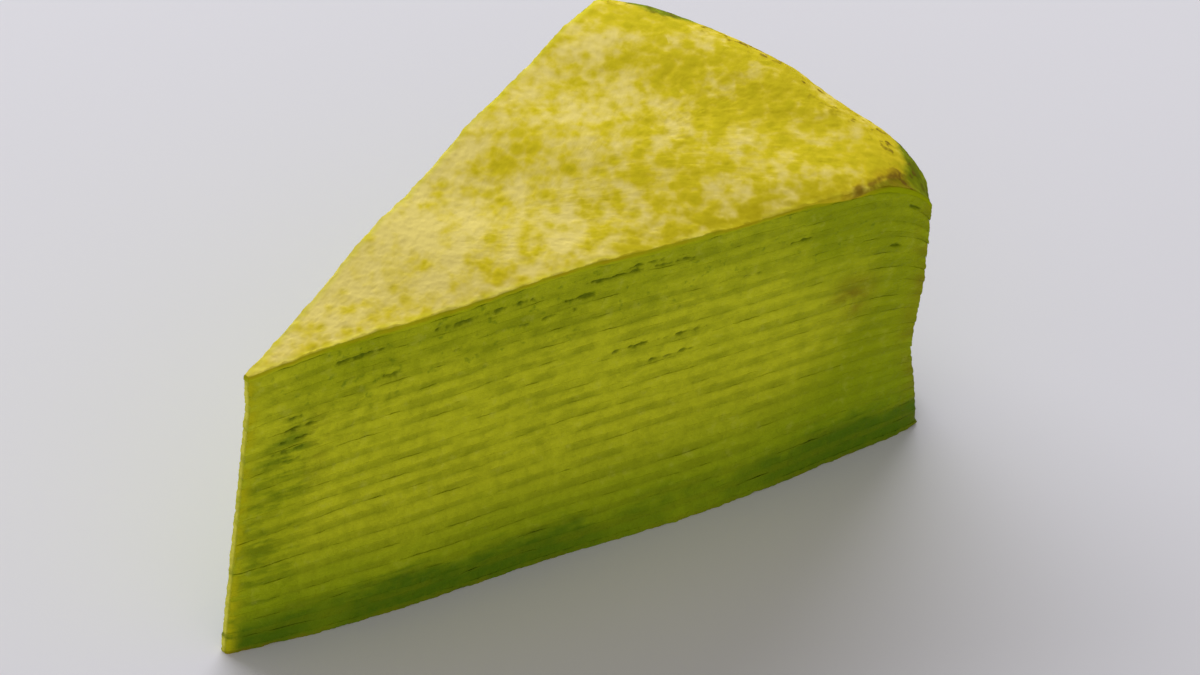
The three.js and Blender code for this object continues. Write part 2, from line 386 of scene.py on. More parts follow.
def edge_reach(board, given, point, along, across, up, inward):
    """How far the edge stands out at the cuts and at the rim, and how near it lies to an air gap."""
    x, y, z = point
    spot = board.vector(x, y, z)
    flat_spot = board.vector(x, y, 0.0)
    seed = given["Seed"]
    wander = board.cloud(flat_spot, WANDER_SIZE, seed=seed + 40.0, detail=3.0)
    wander = (wander * WANDER_SHARE + WANDER_START).math("MAXIMUM", 0.0)
    below = (1.0 - up * 2.0).math("MAXIMUM", 0.0) ** EDGE_POWER * given["Round below"]
    above = (up * 2.0 - 1.0).math("MAXIMUM", 0.0) ** EDGE_POWER * given["Round above"]
    edge_round = (below + above) * wander
    rag = board.cloud(spot, RAG_SIZES[0], seed=1.0) * RAG_SHARES[0]
    rag = rag + board.cloud(spot, RAG_SIZES[1], seed=9.0) * RAG_SHARES[1]
    drag = board.cloud(board.vector(x, y, z * DRAG_FLATTENING), DRAG_SIZE, seed=4.0)
    level = between(given["Lower level"], given["Upper level"], up)
    at_cut = across.math("ABSOLUTE").step(*CUT_SIDE) * (1.0 - inward * GAP_RING_FADE).clamp()
    gap = air_gaps(board, along - across.step(*FAR_SIDE) * FAR_GAP_SHIFT, level) * at_cut
    cut_out = given["Cut lip"] - edge_round + (rag + drag) * given["Cut rag"] - gap * GAP_DEPTH
    rim_wave = (across * RIM_LIP_WAVES + given["Rim turn"]).math("SINE") * given["Rim lip wave"]
    rim_rag = board.cloud(flat_spot, RIM_RAG_SIZES[0], seed=seed + 13.0)
    rim_rag = rim_rag + board.cloud(flat_spot, RIM_RAG_SIZES[1], seed=seed + 17.0) * RIM_RAG_FINE_SHARE
    flush = 1.0 - across.math("ABSOLUTE") ** CORNER_FADE * CORNER_FLUSH
    lip = (given["Rim lip"] + rim_wave + rim_rag * given["Rim rag"] - RIM_LIP) * flush + RIM_LIP
    rim_out = lip - edge_round * RIM_ROUND_SHARE + rag * given["Cut rag"]
    return cut_out, rim_out, gap


def stood_out(board, given, point, along, across, up, cut_out, rim_out):
    """The point moved out from the cuts, the tip and the rim. A lip at the rim hangs down a little."""
    x, y, z = point
    flat_spot = board.vector(x, y, 0.0)
    angle = across * HALF_ANGLE
    cut_share = across.math("ABSOLUTE") ** CUT_FADE
    rim_share = along ** RIM_FADE
    tip_share = (1.0 - along) ** TIP_FADE
    x = x - cut_out * (cut_share * math.sin(HALF_ANGLE) + tip_share * TIP_LIP_SHARE)
    x = x - given["Tip lip"] * tip_share
    x = x + rim_out * rim_share * angle.math("COSINE")
    y = y + across.math("SIGN") * cut_out * cut_share * math.cos(HALF_ANGLE)
    y = y + rim_out * rim_share * angle.math("SINE")
    hang = rim_out.math("MAXIMUM", 0.0) * rim_share * RIM_LIP_DROOP
    above_floor = (given["Lower seam"] + up).clamp()
    grain = board.cloud(flat_spot, RELIEF_SIZES[0], seed=given["Seed"] + 31.0)
    grain = grain + board.cloud(flat_spot, RELIEF_SIZES[1], seed=given["Seed"] + 35.0) * RELIEF_FINE_SHARE
    relief = grain * up.step(*RELIEF_START) * given["Top relief"]
    return x, y, z - hang * above_floor + relief


print("edges: lips, rags, gaps and relief are ready")

# %% [markdown]
# ## One tree for every layer
# Each layer could be a mesh of its own making, but all of them follow one rule, so one tree makes them
# all. The tree's named inputs are what differs from layer to layer. It also leaves notes on the mesh,
# such as how far along a point lies, so that the finishes can read them.

# %% The layer tree
MILLIMETRE = 0.001
MERGE_GAP = 5e-6
CORNER_BEND = 0.7
WALL_RING_FADE = 40.0
LAYER_INPUTS = {
    "Lower level": "NodeSocketFloat", "Upper level": "NodeSocketFloat",
    "Lower seam": "NodeSocketFloat", "Upper seam": "NodeSocketFloat",
    "Cut lip": "NodeSocketFloat", "Rim lip": "NodeSocketFloat",
    "Rim lip wave": "NodeSocketFloat", "Rim turn": "NodeSocketFloat", "Tip lip": "NodeSocketFloat",
    "Round below": "NodeSocketFloat", "Round above": "NodeSocketFloat",
    "Cut rag": "NodeSocketFloat", "Rim rag": "NodeSocketFloat",
    "Top relief": "NodeSocketFloat", "Seed": "NodeSocketFloat",
    "Rings below": "NodeSocketInt", "Rings in the wall": "NodeSocketInt",
    "Rings above": "NodeSocketInt", "Ring crowding": "NodeSocketFloat",
    "Finish": "NodeSocketMaterial",
}


def slab(board, given, point, notes):
    """The grid with its notes, wrapped to its place, closed, shaded and given its finish."""
    sockets = {
        "Size X": 1.0, "Size Y": 1.0, "Vertices X": ROUND_STEPS + 1, "Vertices Y": ring_count(given) + 1.0}
    mesh = board.add("GeometryNodeMeshGrid", {}, sockets)
    for name, value in notes.items():
        sockets = {"Geometry": mesh, "Name": name, "Value": value}
        mesh = board.add("GeometryNodeStoreNamedAttribute", {"data_type": "FLOAT"}, sockets)
    x, y, z = point
    place = board.vector(
        (x - BOX_MIDDLE[0]) * MILLIMETRE, (y - BOX_MIDDLE[1]) * MILLIMETRE, z * MILLIMETRE)
    mesh = board.add("GeometryNodeSetPosition", {}, {"Geometry": mesh, "Position": place})
    mesh = board.add("GeometryNodeMergeByDistance", {}, {"Geometry": mesh, "Distance": MERGE_GAP})
    mesh = board.add("GeometryNodeSetShadeSmooth", {}, {"Geometry": mesh})
    corner = board.add("GeometryNodeInputMeshEdgeAngle").math("GREATER_THAN", CORNER_BEND)
    sockets = {"Geometry": mesh, "Selection": corner, "Shade Smooth": False}
    mesh = board.add("GeometryNodeSetShadeSmooth", {"domain": "EDGE"}, sockets)
    mesh = board.add("GeometryNodeRealizeInstances", {}, {"Geometry": mesh})
    return board.add("GeometryNodeSetMaterial", {}, {"Geometry": mesh, "Material": given["Finish"]})


def layer_tree():
    tree = bpy.data.node_groups.new("cake layer", "GeometryNodeTree")
    board = Board(tree)
    tree.interface.new_socket("Geometry", in_out="INPUT", socket_type="NodeSocketGeometry")
    for name, kind in LAYER_INPUTS.items():
        tree.interface.new_socket(name, in_out="INPUT", socket_type=kind)
    tree.interface.new_socket("Layer", in_out="OUTPUT", socket_type="NodeSocketGeometry")
    entry = tree.nodes.new("NodeGroupInput")
    given = {name: Flow(tree, entry.outputs[name]) for name in LAYER_INPUTS}
    along, across, up, inward = place_on_grid(board, given)
    low = seam_point(board, along, across, given["Lower level"], given["Lower seam"])
    high = seam_point(board, along, across, given["Upper level"], given["Upper seam"])
    point = tuple(between(a, b, up) for a, b in zip(low, high))
    cut_out, rim_out, gap = edge_reach(board, given, point, along, across, up, inward)
    point = stood_out(board, given, point, along, across, up, cut_out, rim_out)
    wall = (1.0 - inward * WALL_RING_FADE).clamp()
    notes = {"along": along, "across": across, "up": up, "wall": wall, "gap": gap}
    leave = tree.nodes.new("NodeGroupOutput")
    feed(tree, leave.inputs[0], slab(board, given, point, notes))
    return tree


LAYER_TREE = layer_tree()
print("layer tree:", len(LAYER_TREE.nodes), "nodes,", len(LAYER_INPUTS), "named inputs")

# %% [markdown]
# ## Finishes
# On the cut face the crepes are thin darker lines and the cream is the paler band between them. A
# picture could be painted for each layer and unwrapped onto it. Noise that is read at each point's own
# place needs no unwrapping, and it runs on from one layer to the next, as a stain on the cut does. So
# every finish here starts from the place in millimetres, and ends in one shader with a little bump.

# %% Finish helpers


def new_finish(name):
    material = bpy.data.materials.new(name)
    material.use_nodes = True
    material.node_tree.nodes.clear()
    board = Board(material.node_tree)
    coords = board.add("ShaderNodeTexCoord", out="Object")
    place = board.add("ShaderNodeVectorMath", {"operation": "SCALE"}, {0: coords, "Scale": 1 / MILLIMETRE})
    return material, board, place


def close_finish(board, colour, roughness, height, depth, constants):
    normal = board.add("ShaderNodeBump", {}, {"Height": height, "Distance": depth * MILLIMETRE})
    sockets = {"Base Color": colour, "Roughness": roughness, "Normal": normal, **constants}
    shader = board.add("ShaderNodeBsdfPrincipled", {}, sockets)
    board.add("ShaderNodeOutputMaterial", {}, {"Surface": shader})


def axis(board, place, which):
    return board.add("ShaderNodeSeparateXYZ", {}, {0: place}, out=which)


def attribute(board, name):
    return board.add("ShaderNodeAttribute", {"attribute_name": name}, {}, out="Fac")


def paint(colour, shade=1.0):
    return tuple(part * shade for part in colour) + (1.0,)


print("finish helpers ready")

# %% [markdown]
# ## The green of the cut
# The inside of the cake is a yellow green. It has dried to a deeper green along the top and at the rim,
# and it is darkest at the foot, where the slice was pressed and drew water. A strip by the tip is darker
# still, with painted shade. Each layer could have its own colour, but these changes run across the layers.
# So one function works the green out from a point's height and its distance along the cut, and every
# layer takes its own part.

# %% The green of the cut
MIDDLE_GREEN = (0.53, 0.56, 0.014)
EDGE_GREEN = (0.29, 0.35, 0.002)
LOW_GREEN = (0.22, 0.31, 0.002)
FOOT_GREEN = (0.08, 0.155, 0.002)
BAND_GREEN = (0.175, 0.215, 0.0025)
SMEAR_BROWN = (0.22, 0.17, 0.005)
BLOTCH_SIZE, PATCH_SIZE, STREAK_SIZE, STREAK_STRETCH = 14.0, 4.0, 0.9, (0.2, 0.2, 1.0)
# Where each change starts and ends: heights in millimetres, and shares of the way along
TIP_STRIP, STRIP_TOP = (0.062, 0.115), (24.0, 36.0)
UPPER_BAND, TIP_GAP = (31.5, 39.5), (0.03, 0.05)
RIM_BAND, RIM_WIDENING = (0.76, 0.96), (5.0, 22.0)
LOW_BAND, LOW_STRENGTH = (3.0, 17.0), 0.83
FOOT_BAND, PRESSED_FOOT, PRESSED_TIP = (2.4, 6.4), (0.65, 0.13), (0.13, 0.035)
FOOT_RISE_TIP, FOOT_RISE_RIM = (0.24, 0.06), (0.88, 0.08)
# Where each mark has its middle, and how wide it is
STAIN_ALONG, STAIN_HEIGHT, STAIN_STRENGTH = (0.102, 0.013), (29.5, 4.5), 0.55
DAMP_ALONG, DAMP_HEIGHT, DAMP_STRENGTH = (0.065, 0.035), (29.0, 5.0), 0.5
SMEAR_ALONG, SMEAR_HEIGHT, SMEAR_STRENGTH = (0.9, 0.03), (26.0, 3.0), 0.85
DULL_STRENGTH, STRIP_SHADE_STRENGTH = 0.5, 0.45


def face_noise(board, place):
    """Three sizes of noise that the whole cut shares: blotches, patches, and streaks along the layers."""
    blotch = board.cloud(place, BLOTCH_SIZE, seed=2.0)
    patch = board.cloud(place, PATCH_SIZE, seed=4.0, detail=3.0)
    settings = {"operation": "MULTIPLY"}
    stretched = board.add("ShaderNodeVectorMath", settings, {0: place, 1: STREAK_STRETCH})
    return blotch, patch, board.cloud(stretched, STREAK_SIZE, seed=5.0, detail=3.0)


def face_marks(board, colour, along, height, patch, streak):
    """The brown stain and the damp patch by the tip, and the smear by the rim."""
    stain = along.bell(*STAIN_ALONG) * height.bell(*STAIN_HEIGHT)
    stain = stain * (patch * 3.0 + streak * 2.0 + 0.45).clamp()
    colour = board.mix(stain * STAIN_STRENGTH, colour, paint(SMEAR_BROWN))
    damp = along.bell(*DAMP_ALONG) * height.bell(*DAMP_HEIGHT)
    damp = (damp * (patch + streak * 2.5 + 0.45)).clamp()
    colour = board.mix(damp * DAMP_STRENGTH, colour, paint(FOOT_GREEN))
    smear = along.bell(*SMEAR_ALONG) * height.bell(*SMEAR_HEIGHT)
    smear = (smear * (patch * 2.5 + 0.9)).clamp()
    return board.mix(smear * SMEAR_STRENGTH, colour, paint(SMEAR_BROWN))


def face_colour(board, place):
    """The green of the cut, how far along it is read, its streaks, and its share of the darker outline."""
    height = axis(board, place, "Z")
    along = attribute(board, "along")
    blotch, patch, streak = face_noise(board, place)
    # Painted shade: a strip by the tip is darkened, standing for a part of the cut that gets less light.
    strip = 1.0 - (along + patch * 0.03).step(*TIP_STRIP)
    strip = strip * (1.0 - height.step(*STRIP_TOP))
    upper = (height + patch * 2.0).step(*UPPER_BAND)
    upper = upper * (0.65 - along.bell(*TIP_GAP) * 0.35)
    by_rim = (along + blotch * 0.08 + (1.0 - height.step(*RIM_WIDENING)) * 0.06).step(*RIM_BAND)
    edge = (strip * 0.55 + upper + by_rim * 0.95).clamp()
    tone = edge + blotch * 0.28 + patch * 0.28 + streak * 0.3
    colour = board.mix(tone.clamp(), paint(MIDDLE_GREEN), paint(EDGE_GREEN))
    dull = (streak * 0.8 + patch * 0.7 + 0.05).clamp()
    colour = board.mix(dull * DULL_STRENGTH, colour, paint(BAND_GREEN))
    low = 1.0 - (height + blotch * 3.0 + patch * 2.0 + streak * 3.0 - along * 2.5).step(*LOW_BAND)
    colour = board.mix(low * LOW_STRENGTH, colour, paint(LOW_GREEN))
    pressed = 1.0 - along.bell(*PRESSED_FOOT) * (patch * 0.8 + 0.6) - along.bell(*PRESSED_TIP) * 0.3
    raised = along.bell(*FOOT_RISE_TIP) * 1.2 + along.bell(*FOOT_RISE_RIM) * 1.8 + along
    foot = 1.0 - (height + blotch * 1.6 + patch * 2.2 + streak * 2.4 - raised).step(*FOOT_BAND)
    colour = board.mix((foot * pressed).clamp(), colour, paint(FOOT_GREEN))
    # Painted shade: deeper green streaks over the same strip by the tip.
    strip_shade = (strip * (streak * 3.0 + patch * 1.5 + 0.15)).clamp()
    colour = board.mix(strip_shade * STRIP_SHADE_STRENGTH, colour, paint(FOOT_GREEN))
    colour = face_marks(board, colour, along, height, patch, streak)
    return colour, along, streak, edge


print("the green of the cut is ready")

# %% [markdown]
# ## Crepe and cream
# Seen close, a crepe is a dull band, the cream is paler and full of fine crumbs, and a thin dark line of
# painted shade lies where the cream meets the crepe above it. The line could be a real gap between the
# meshes, but the gap would have to be thinner than any mesh here. So it is painted from the note of how
# far up the wall of its own layer a point lies.

# %% Crepe and cream
# Painted highlight: the colours of the light caught on the tip edge.
TIP_HIGHLIGHT_YELLOW = (0.76, 0.74, 0.08)
TIP_HIGHLIGHT_OLIVE = (0.47, 0.455, 0.004)
PALE_SPECK = (0.66, 0.66, 0.13)
FINE_SIZE, CRUMB_SIZE, BREAK_SIZE, RIM_TINT_SIZE, POCK_SIZE = 1.1, 1.3, 4.0, 2.5, 1.2
SEAM_SHADE_STRENGTH, GRAIN_STRENGTH, PALE_STRENGTH, PIT_SHADE_STRENGTH, GAP_SHADE_STRENGTH = 0.3, 0.5, 0.45, 0.5, 0.65
RIM_TINT, RIM_TINT_STRENGTH, RIM_EDGE = (0.97, 1.0), 0.7, (0.985, 1.0)
PALE_HEIGHT, POCK_HEIGHT, POCK_END, SOLE_HEIGHT = (2.0, 10.0), (30.0, 36.0), (0.98, 0.9), (0.1, 0.8)
FRINGE_WIDTH, FRINGE_STRENGTH, OUTLINE_WIDTH, OUTLINE_SIDE = 0.011, 0.9, 0.004, (-0.9, 0.2)
SOLE_TIP_WIDTH = 0.12
CUT_ROUGHNESS, CUT_BUMP, CUT_SHINE = 0.6, 0.2, {"Specular IOR Level": 0.05}


def tip_highlight(board, colour, along, grain, streak):
    """Painted highlight on the lit tip edge: a yellow olive strip, with a pale line on its far side."""
    fringe = along.bell(0.0, FRINGE_WIDTH) * (grain * 1.8 + streak * 1.5 + 0.7).clamp()
    colour = board.mix(fringe * FRINGE_STRENGTH, colour, paint(TIP_HIGHLIGHT_OLIVE))
    outline = along.bell(0.0, OUTLINE_WIDTH) * attribute(board, "across").step(*OUTLINE_SIDE)
    return board.mix(outline * (grain * 1.5 + 0.8).clamp(), colour, paint(TIP_HIGHLIGHT_YELLOW))


def cut_finish(name, band_share, shade_low, shade_high):
    """A layer's finish: its band, and painted seam shade from shade_low to shade_high up its wall."""
    material, board, place = new_finish(name)
    colour, along, streak, edge = face_colour(board, place)
    height = axis(board, place, "Z")
    fine = board.cloud(place, FINE_SIZE, seed=7.0)
    grain = board.cloud(place, CRUMB_SIZE, seed=23.0, detail=3.0)
    up = attribute(board, "up")
    broken = (board.cloud(place, BREAK_SIZE, seed=11.0, detail=3.0) * 2.2 + 0.75).clamp()
    broken = broken * (1.0 - edge * 0.2)
    middle = up * 2.0 - 1.0
    band = (1.0 - middle * middle * 0.6) * (along.step(*RIM_EDGE) * 0.5 + 1.0) * band_share
    # Painted shade: a dark line on each seam where the cream meets the crepe above it.
    line = up.step(shade_low, shade_high) * SEAM_SHADE_STRENGTH
    colour = board.mix((band + line) * broken, colour, paint(BAND_GREEN))
    colour = board.mix((grain * 0.9 + 0.1).clamp() * GRAIN_STRENGTH, colour, paint(BAND_GREEN))
    pale = (grain * -0.9 - 0.15).clamp() * height.step(*PALE_HEIGHT)
    colour = board.mix(pale * PALE_STRENGTH, colour, paint(PALE_SPECK))
    rim = along.step(*RIM_TINT) * (board.cloud(place, RIM_TINT_SIZE, seed=17.0) + 0.3).clamp()
    colour = board.mix(rim * RIM_TINT_STRENGTH, colour, paint(SMEAR_BROWN))
    # Painted highlight along the tip edge.
    colour = tip_highlight(board, colour, along, grain, streak)
    # Painted shade: dark spots in the upper layers stand for the shade inside small pits.
    pit_shade = board.cloud(place, POCK_SIZE, seed=29.0, detail=3.0).step(0.16, 0.45) * height.step(*POCK_HEIGHT)
    colour = board.mix(pit_shade * along.step(*POCK_END) * PIT_SHADE_STRENGTH, colour, paint(FOOT_GREEN))
    sole = (1.0 - height.step(*SOLE_HEIGHT)) * (grain * 2.0 + 0.4).clamp()
    colour = board.mix(sole * (along.bell(0.0, SOLE_TIP_WIDTH) * 0.4 + 0.3), colour, paint(SMEAR_BROWN))
    # Painted shade: the air gaps are darkened as the shade inside them.
    colour = board.mix(attribute(board, "gap").clamp() * GAP_SHADE_STRENGTH, colour, paint(FOOT_GREEN, 0.5))
    bump = grain + fine * 0.6 + streak
    close_finish(board, colour, CUT_ROUGHNESS + fine * 0.08, bump, CUT_BUMP, CUT_SHINE)
    return material


CREAM = cut_finish("matcha cream", 0.0, 0.65, 1.05)
CREPE = cut_finish("matcha crepe", 0.43, 0.4, -0.05)
print("cut layers:", CREAM.name, CREPE.name)

# %% [markdown]
# ## The golden top
# This side of the top crepe lay in the pan. It is pale where it bubbled up, gold and olive where it
# touched, and baked to orange and brown along the near cut and the rim. A painted picture could show
# that, but it would have to be unwrapped. Noise of several sizes and a field of round bubbles give the
# same mottle all over. First come the places and the noise that all of its colours read.

# %% Places on the top
GRAIN_TURN, GRAIN_STRETCH = (0.73, 0.68), 0.72
TOP_PATCH_SIZE, MOTTLE_SIZE, LUMP_SIZE, SMALL_SIZE, SPECK_SIZE = 12.0, 3.4, 3.4, 1.5, 0.7
TOP_PATCH_SEED, MOTTLE_SEED = 13897.5, 1800.4
NEAR_SIDE, NEAR_CORNER, CORNER_START = (0.0, -0.5), (-0.3, -0.9), (0.8, 0.95)
BARE_EDGE, BARE_START = 2.21, (0.87, 0.97)
STRIPPED_EDGE, STRIPPED_START = (-0.1, 0.8), (0.9, 0.95)


def top_spot(board, place):
    """What the top's finish reads at a point: where it lies, and noise of each size."""
    x, y, z = (axis(board, place, which) for which in "XYZ")
    with_grain, against_grain = GRAIN_TURN
    grained = board.vector(
        (x * with_grain + y * against_grain) * GRAIN_STRETCH, y * with_grain - x * against_grain, z)
    spot = SimpleNamespace(place=grained)
    spot.along, spot.across = attribute(board, "along"), attribute(board, "across")
    spot.patch = board.cloud(grained, TOP_PATCH_SIZE, seed=TOP_PATCH_SEED)
    spot.mottle = board.cloud(grained, MOTTLE_SIZE, seed=MOTTLE_SEED)
    spot.lump = board.cloud(grained, LUMP_SIZE, seed=3.0)
    spot.small = board.cloud(grained, SMALL_SIZE, seed=5.0)
    spot.fine = board.cloud(grained, SPECK_SIZE, seed=9.0)
    spot.near = spot.across.step(*NEAR_SIDE)
    spot.near_corner = spot.across.step(*NEAR_CORNER) * spot.along.step(*CORNER_START)
    spot.from_cut = (1.0 - spot.across.math("ABSOLUTE")) * spot.along * (CAKE_RADIUS * HALF_ANGLE)
    bare = spot.near * spot.along.step(*BARE_START) * BARE_EDGE
    spot.bare = bare + spot.lump * 0.5 + spot.small * 0.4
    spot.stripped = (spot.bare - spot.from_cut).step(*STRIPPED_EDGE) * spot.along.step(*STRIPPED_START)
    return spot


print("places on the top are ready")

# %% [markdown]
# ## Pale, gold and olive
# The mottle turns from mostly pale by the tip to mostly gold by the rim. Noise alone would look like
# clouds, so round dots from a Voronoi texture stand for the bubbles that burst in the batter.

# %% Mottle of the top
TOP_PALE = (0.86, 0.712, 0.2)
TOP_GOLD = (0.72, 0.58, 0.018)
TOP_OLIVE = (0.56, 0.475, 0.008)
TOP_EDGE_HIGHLIGHT = (0.78, 0.72, 0.05)
BUBBLE_SIZE, BUBBLE_EDGE, BUBBLE_CHOICE = 2.7, (0.12, 0.45), (0.4, 0.7)
NEAR_BAND_START, NEAR_BAND_EDGE, NEAR_BAND_GOLD = (0.5, 0.68), (3.0, 9.0), 0.22
GOLD_RANGE, OLIVE_RANGE, OLIVE_STRENGTH = (-0.72, 0.72), (0.0, 0.6), 0.85
CUT_HIGHLIGHT_REACH, CUT_HIGHLIGHT_STRENGTH = (0.1, 1.1), 0.5


def bubbles(board, spot):
    """The dots where bubbles burst: 1 inside one, 0 between them. Only some of the cells have one."""
    sockets = {"Vector": spot.place, "Scale": 1 / BUBBLE_SIZE, "Randomness": 1.0}
    far = board.add("ShaderNodeTexVoronoi", {}, sockets, out="Distance")
    chosen = board.add("ShaderNodeTexVoronoi", {}, sockets, out="Color")
    chosen = board.add("ShaderNodeSeparateColor", {}, {0: chosen}, out=0)
    dot = 1.0 - (far + spot.small * 0.3).step(*BUBBLE_EDGE)
    return dot * (chosen + spot.patch * 0.4 + spot.along * 0.3).step(*BUBBLE_CHOICE)


def mottle_colour(board, spot):
    along, small = spot.along, spot.small
    near_band = spot.near * along.step(*NEAR_BAND_START) * (1.0 - spot.from_cut.step(*NEAR_BAND_EDGE))
    rise = along * along * 1.27 - along * 0.36 - spot.across * 0.13 + spot.near_corner * 0.1 + 0.19
    rise = rise + near_band * NEAR_BAND_GOLD
    dot = bubbles(board, spot)
    gold = spot.mottle * 1.7 + spot.patch * 0.5 + small * 1.1 + dot * 0.55 + rise - 0.44
    gold = gold.step(*GOLD_RANGE)
    colour = board.mix(gold, paint(TOP_PALE), paint(TOP_GOLD))
    olive = spot.mottle + spot.patch * 0.1 + small * 0.8 + rise * 0.7 - spot.near_corner * 0.3 - 0.4
    olive = (olive.step(*OLIVE_RANGE) * 0.8 + dot * gold * 0.6).clamp()
    colour = board.mix(olive * OLIVE_STRENGTH, colour, paint(TOP_OLIVE))
    # Painted highlight: a lighter yellow line along the cut edges of the top, where they catch the light.
    cut_highlight = 1.0 - spot.from_cut.step(*CUT_HIGHLIGHT_REACH)
    return board.mix(cut_highlight * CUT_HIGHLIGHT_STRENGTH, colour, paint(TOP_EDGE_HIGHLIGHT))


print("mottle of the top is ready")

# %% [markdown]
# ## Baked edges, rim and torn corner
# Heat took the thin edges first: the near cut is a darker gold, the near corner is orange and scorched,
# and at the rim the green of the batter shows again. At that corner the skin has torn off a narrow edge.
# Each is a mask: a smooth step along the slice times a smooth step away from the cut, roughened by noise.

# %% Browning of the top
TOP_ORANGE = (0.55, 0.39, 0.01)
TOP_BAKED = (0.52, 0.43, 0.008)
TOP_CRUST = (0.25, 0.205, 0.003)
TOP_BROWN = (0.16, 0.09, 0.008)
SHOULDER_GREEN = (0.12, 0.15, 0.004)
BAKED_EDGE, BAKED_START = (1.2, 6.5), (0.34, 0.66)
RIM_LINE, BROWN_EDGE, BROWN_STRENGTH = (0.92, 0.98), (0.2, 3.5), 0.8
SCORCH_EDGE, SCORCH_START, SCORCH_END, SCORCH_STRENGTH = (0.2, 1.5), (0.85, 0.9), (0.93, 0.97), 0.75
FAR_RIM, MID_RIM, RIM_STEP, SHOULDER_STRENGTH = (0.72, 0.3), (-0.8, -0.5), (0.972, 0.988), 0.85
CRUST_END, SPECK_RANGE, SPECK_PLACE, SPECK_STRENGTH = (0.965, 0.992), (0.12, 0.4), (0.97, 0.022), 0.85


def baked_colour(board, colour, spot):
    """The darker gold of the near cut, the orange of the rim and corner, and the scorched corner edge."""
    along, small, corner = spot.along, spot.small, spot.near_corner
    baked = spot.near * (1.0 - spot.from_cut.step(*BAKED_EDGE)) * along.step(*BAKED_START)
    baked = (baked * (spot.mottle + small * 0.8 + 0.62 - corner * 0.5)).clamp()
    colour = board.mix(baked, colour, paint(TOP_BAKED))
    past_bare = spot.from_cut - spot.bare
    browning = along.step(*RIM_LINE) * (0.5 - corner * 0.4)
    browning = (browning + corner * (1.0 - past_bare.step(*BROWN_EDGE)) * 1.2).clamp()
    browning = (browning * (small * 2.0 + spot.lump * 1.5 + 0.6)).clamp()
    colour = board.mix(browning * BROWN_STRENGTH, colour, paint(TOP_ORANGE))
    scorched = (1.0 - past_bare.step(*SCORCH_EDGE)) * spot.near * along.step(*SCORCH_START)
    scorched = scorched * (1.0 - along.step(*SCORCH_END) * 0.5)
    scorched = (scorched * (small * 1.5 + spot.lump + 0.85)).clamp()
    return board.mix(scorched * SCORCH_STRENGTH, colour, paint(TOP_BROWN))


def rim_colour(board, colour, spot, green):
    """The green shoulder at the rim and at the torn corner, the corner's crust, and brown specks."""
    along, small = spot.along, spot.small
    far_rim = spot.across.bell(*FAR_RIM)
    mid_rim = spot.across.step(*MID_RIM) * (1.0 - far_rim)
    rim = along + spot.near_corner * 0.012 + far_rim * 0.032 - mid_rim * 0.028
    rim = (rim + spot.lump * 0.02 + small * 0.006).step(*RIM_STEP).math("MAXIMUM", spot.stripped)
    shoulder = (small * 1.5 + 0.7).clamp() * SHOULDER_STRENGTH
    colour = board.mix(rim, colour, board.mix(shoulder, green, paint(SHOULDER_GREEN)))
    crust = spot.stripped * (1.0 - along.step(*CRUST_END))
    colour = board.mix(crust * (small + 0.85).clamp(), colour, paint(TOP_CRUST))
    speck = (small * 1.2 + spot.fine * 0.5 + spot.lump * 0.6).step(*SPECK_RANGE) * along.bell(*SPECK_PLACE)
    return board.mix(speck * SPECK_STRENGTH, colour, paint(TOP_BROWN))


print("browning of the top is ready")

# %% [markdown]
# ## The wall of the top crepe
# Seen from the side, the top crepe is gold only at its upper edge. Below it is brown, then green like
# the rest. It could be cut into pieces with a finish each, but the change is soft, so the note of how
# far up the wall a point lies drives one finish through all three.

# %% The top finish
UNDER_BROWN = (0.41, 0.345, 0.005)
FLAP_PLACE, FLAP_SHARE = (0.865, 0.035), 0.75
BROWN_WALL, GREEN_WALL, CUT_SIDE_END = (0.8, 0.97), (0.2, 0.6), (0.985, 0.999)
TOP_ROUGHNESS, TOP_BUMP, TOP_SHINE = 0.75, 0.1, {"Specular IOR Level": 0.01}


def wall_colour(board, colour, spot, green):
    wall = attribute(board, "wall")
    flap = spot.along.bell(*FLAP_PLACE) * spot.near * FLAP_SHARE + spot.lump * 0.1
    up = attribute(board, "up") + flap
    cut_side = (1.0 - spot.stripped) * (1.0 - spot.along.step(*CUT_SIDE_END))
    under = board.mix((spot.lump * 1.2 + 0.6).clamp() * cut_side, green, paint(UNDER_BROWN))
    colour = board.mix(wall * (1.0 - up.step(*BROWN_WALL)), colour, under)
    return board.mix(wall * (1.0 - up.step(*GREEN_WALL)), colour, green)


def top_finish():
    material, board, place = new_finish("golden top crepe")
    green = face_colour(board, place)[0]
    spot = top_spot(board, place)
    colour = mottle_colour(board, spot)
    colour = baked_colour(board, colour, spot)
    colour = rim_colour(board, colour, spot, green)
    colour = wall_colour(board, colour, spot, green)
    bump = spot.small + spot.lump * 0.8
    close_finish(board, colour, TOP_ROUGHNESS + spot.small * 0.08, bump, TOP_BUMP, TOP_SHINE)
    return material


TOP = top_finish()
print("top crepe:", TOP.name)

# %% [markdown]
# ## What differs from layer to layer
# Crepe and cream take turns from the floor up. A crepe stands out a little at the rim and the cream
# lies back behind it. The bottom crepe is more ragged, and the top one has a raised grain on its face.
# These are only numbers for the tree's named inputs, so they are worked out in one place.

# %% Values for each layer
LAYER_COUNT = 2 * CREPE_COUNT - 1
SEED_STEP = 5.3
CREAM_SETBACK = 0.42
TIP_OVERHANG, TIP_OVERHANG_LAYERS = 0.8, 4


def crepe_lip(crepe):
    return RIM_LIP + RIM_LIP_SPREAD * spread(crepe)


